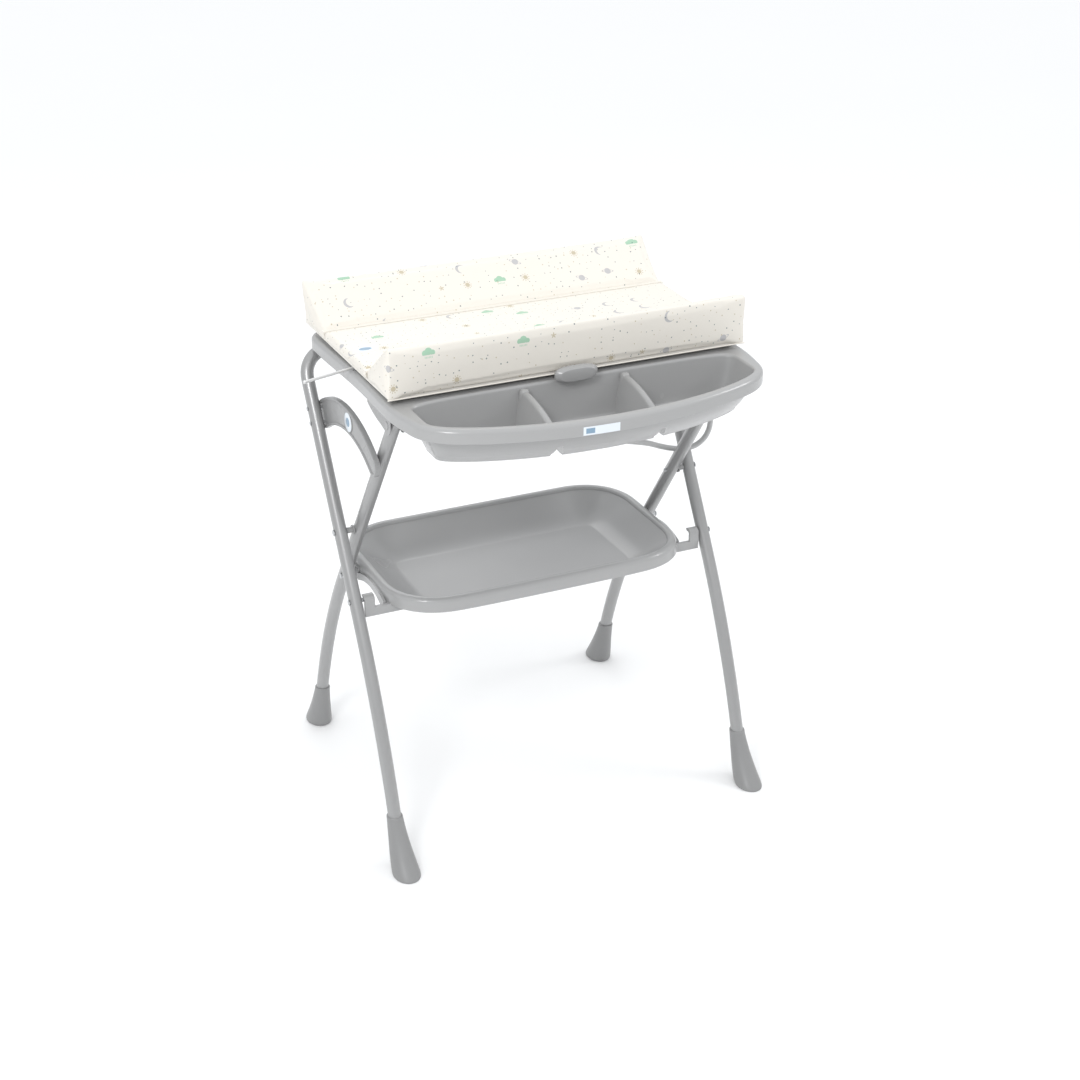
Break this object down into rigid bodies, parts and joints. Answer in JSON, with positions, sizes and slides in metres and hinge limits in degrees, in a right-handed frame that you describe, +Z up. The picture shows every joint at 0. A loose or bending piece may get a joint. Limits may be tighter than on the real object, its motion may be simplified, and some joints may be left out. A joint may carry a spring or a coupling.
{
  "type": "changing table",
  "caption": "Folding baby changing table on a scissor tube frame, with a moulded bath tub, front cups, a padded flip-up mat, a towel bar and a low shelf tray.",
  "frame": {"origin": "centre of the footprint's bounding rectangle, on the floor", "axes": "+X to the right as seen from the user's side, +Y to the rear (the higher bolster is at the front, -Y), +Z up"},
  "size_m": [0.8714, 0.7488, 1.02],
  "materials": {
    "frame_paint": "satin grey powder coat on bent steel tube",
    "grey_moulding": "glossy light grey injection-moulded plastic",
    "boot_plastic": "satin mid grey moulded plastic",
    "zinc_fastener": "zinc-plated rivets and pins",
    "dark_grey_plastic": "semi-gloss darker grey moulded plastic",
    "bumper_rubber": "soft matte rubber",
    "printed_mat_cover": "cream wipe-clean vinyl with a sparse printed night-sky pattern",
    "white_board": "white plastic-edged board",
    "hose_plastic": "light grey flexible plastic",
    "label_white": "satin printed sticker, plain"
  },
  "bodies": {
    "outer_frame": {"outer_leg_left": "frame_paint", "outer_leg_right": "frame_paint", "rear_crossbar": "frame_paint", "front_boot_left": "boot_plastic", "front_boot_right": "boot_plastic", "scissor_pin_left": "zinc_fastener", "scissor_pin_right": "zinc_fastener", "scissor_spacer_left": "dark_grey_plastic", "scissor_spacer_right": "dark_grey_plastic", "shelf_hook_pin_left": "zinc_fastener", "shelf_hook_pin_right": "zinc_fastener", "guide_arm": "dark_grey_plastic", "guide_arm_rivet_lower": "zinc_fastener", "guide_arm_rivet_upper": "zinc_fastener"},
    "inner_frame": {"inner_leg_left": "frame_paint", "inner_leg_right": "frame_paint", "tub_hinge_bar": "frame_paint", "rear_boot_left": "boot_plastic", "rear_boot_right": "boot_plastic", "shelf_pivot_pin_left": "zinc_fastener", "shelf_pivot_pin_right": "zinc_fastener", "guide_pin": "zinc_fastener"},
    "tub": {"bath_tub": "grey_moulding", "tub_hinge_bracket_left": "dark_grey_plastic", "tub_hinge_bracket_right": "dark_grey_plastic", "crossbar_saddle_left": "dark_grey_plastic", "crossbar_saddle_right": "dark_grey_plastic", "drain_fitting": "dark_grey_plastic", "drain_hose": "hose_plastic", "hose_end_plug": "dark_grey_plastic", "hose_clip": "grey_moulding", "mat_hinge_base_left": "dark_grey_plastic", "mat_hinge_base_right": "dark_grey_plastic", "mat_hinge_pin_left": "zinc_fastener", "mat_hinge_pin_right": "zinc_fastener", "mat_bumper_left": "bumper_rubber", "mat_bumper_right": "bumper_rubber", "towel_bar_screw": "zinc_fastener"},
    "mat": {"mat_board": "white_board", "mat_centre_pad": "printed_mat_cover", "mat_front_bolster": "printed_mat_cover", "mat_rear_bolster": "printed_mat_cover", "mat_handle": "dark_grey_plastic", "mat_hinge_leaf_left": "dark_grey_plastic", "mat_hinge_leaf_right": "dark_grey_plastic"},
    "towel_bar": {"towel_bar": "frame_paint"},
    "drain_plug": {"drain_plug": "hose_plastic"},
    "shelf": {"shelf_tray": "grey_moulding"}
  },
  "joints": [
    {"name": "frame_fold", "type": "hinge", "parent": "outer_frame", "child": "inner_frame", "pos_m": [0.033, 0.049, 0.584], "axis": [-1, 0, 0], "range_deg": [0, 50], "deforming": ["drain_hose"]},
    {"name": "tub_tilt", "type": "hinge", "parent": "inner_frame", "child": "tub", "pos_m": [0.033, -0.14391, 0.87], "axis": [1, 0, 0], "range_deg": [0, 123]},
    {"name": "shelf_tilt", "type": "hinge", "parent": "inner_frame", "child": "shelf", "pos_m": [0.033, 0.131, 0.447], "axis": [-1, 0, 0], "range_deg": [0, 25]},
    {"name": "mat_flip", "type": "hinge", "parent": "tub", "child": "mat", "pos_m": [0.033, 0.256, 0.916], "axis": [-1, 0, 0], "range_deg": [0, 100]},
    {"name": "towel_swing", "type": "hinge", "parent": "tub", "child": "towel_bar", "pos_m": [-0.305, 0.0225, 0.9185], "axis": [0, 0, -1], "range_deg": [0, 100]},
    {"name": "drain_plug_lift", "type": "slide", "parent": "tub", "child": "drain_plug", "axis": [0, 0, 1], "range_m": [0, 0.03]}
  ],
  "couplings": [
    {"joint": "tub_tilt", "follows": "frame_fold", "ratio": 2.46},
    {"joint": "shelf_tilt", "follows": "frame_fold", "ratio": 0.5}
  ]
}
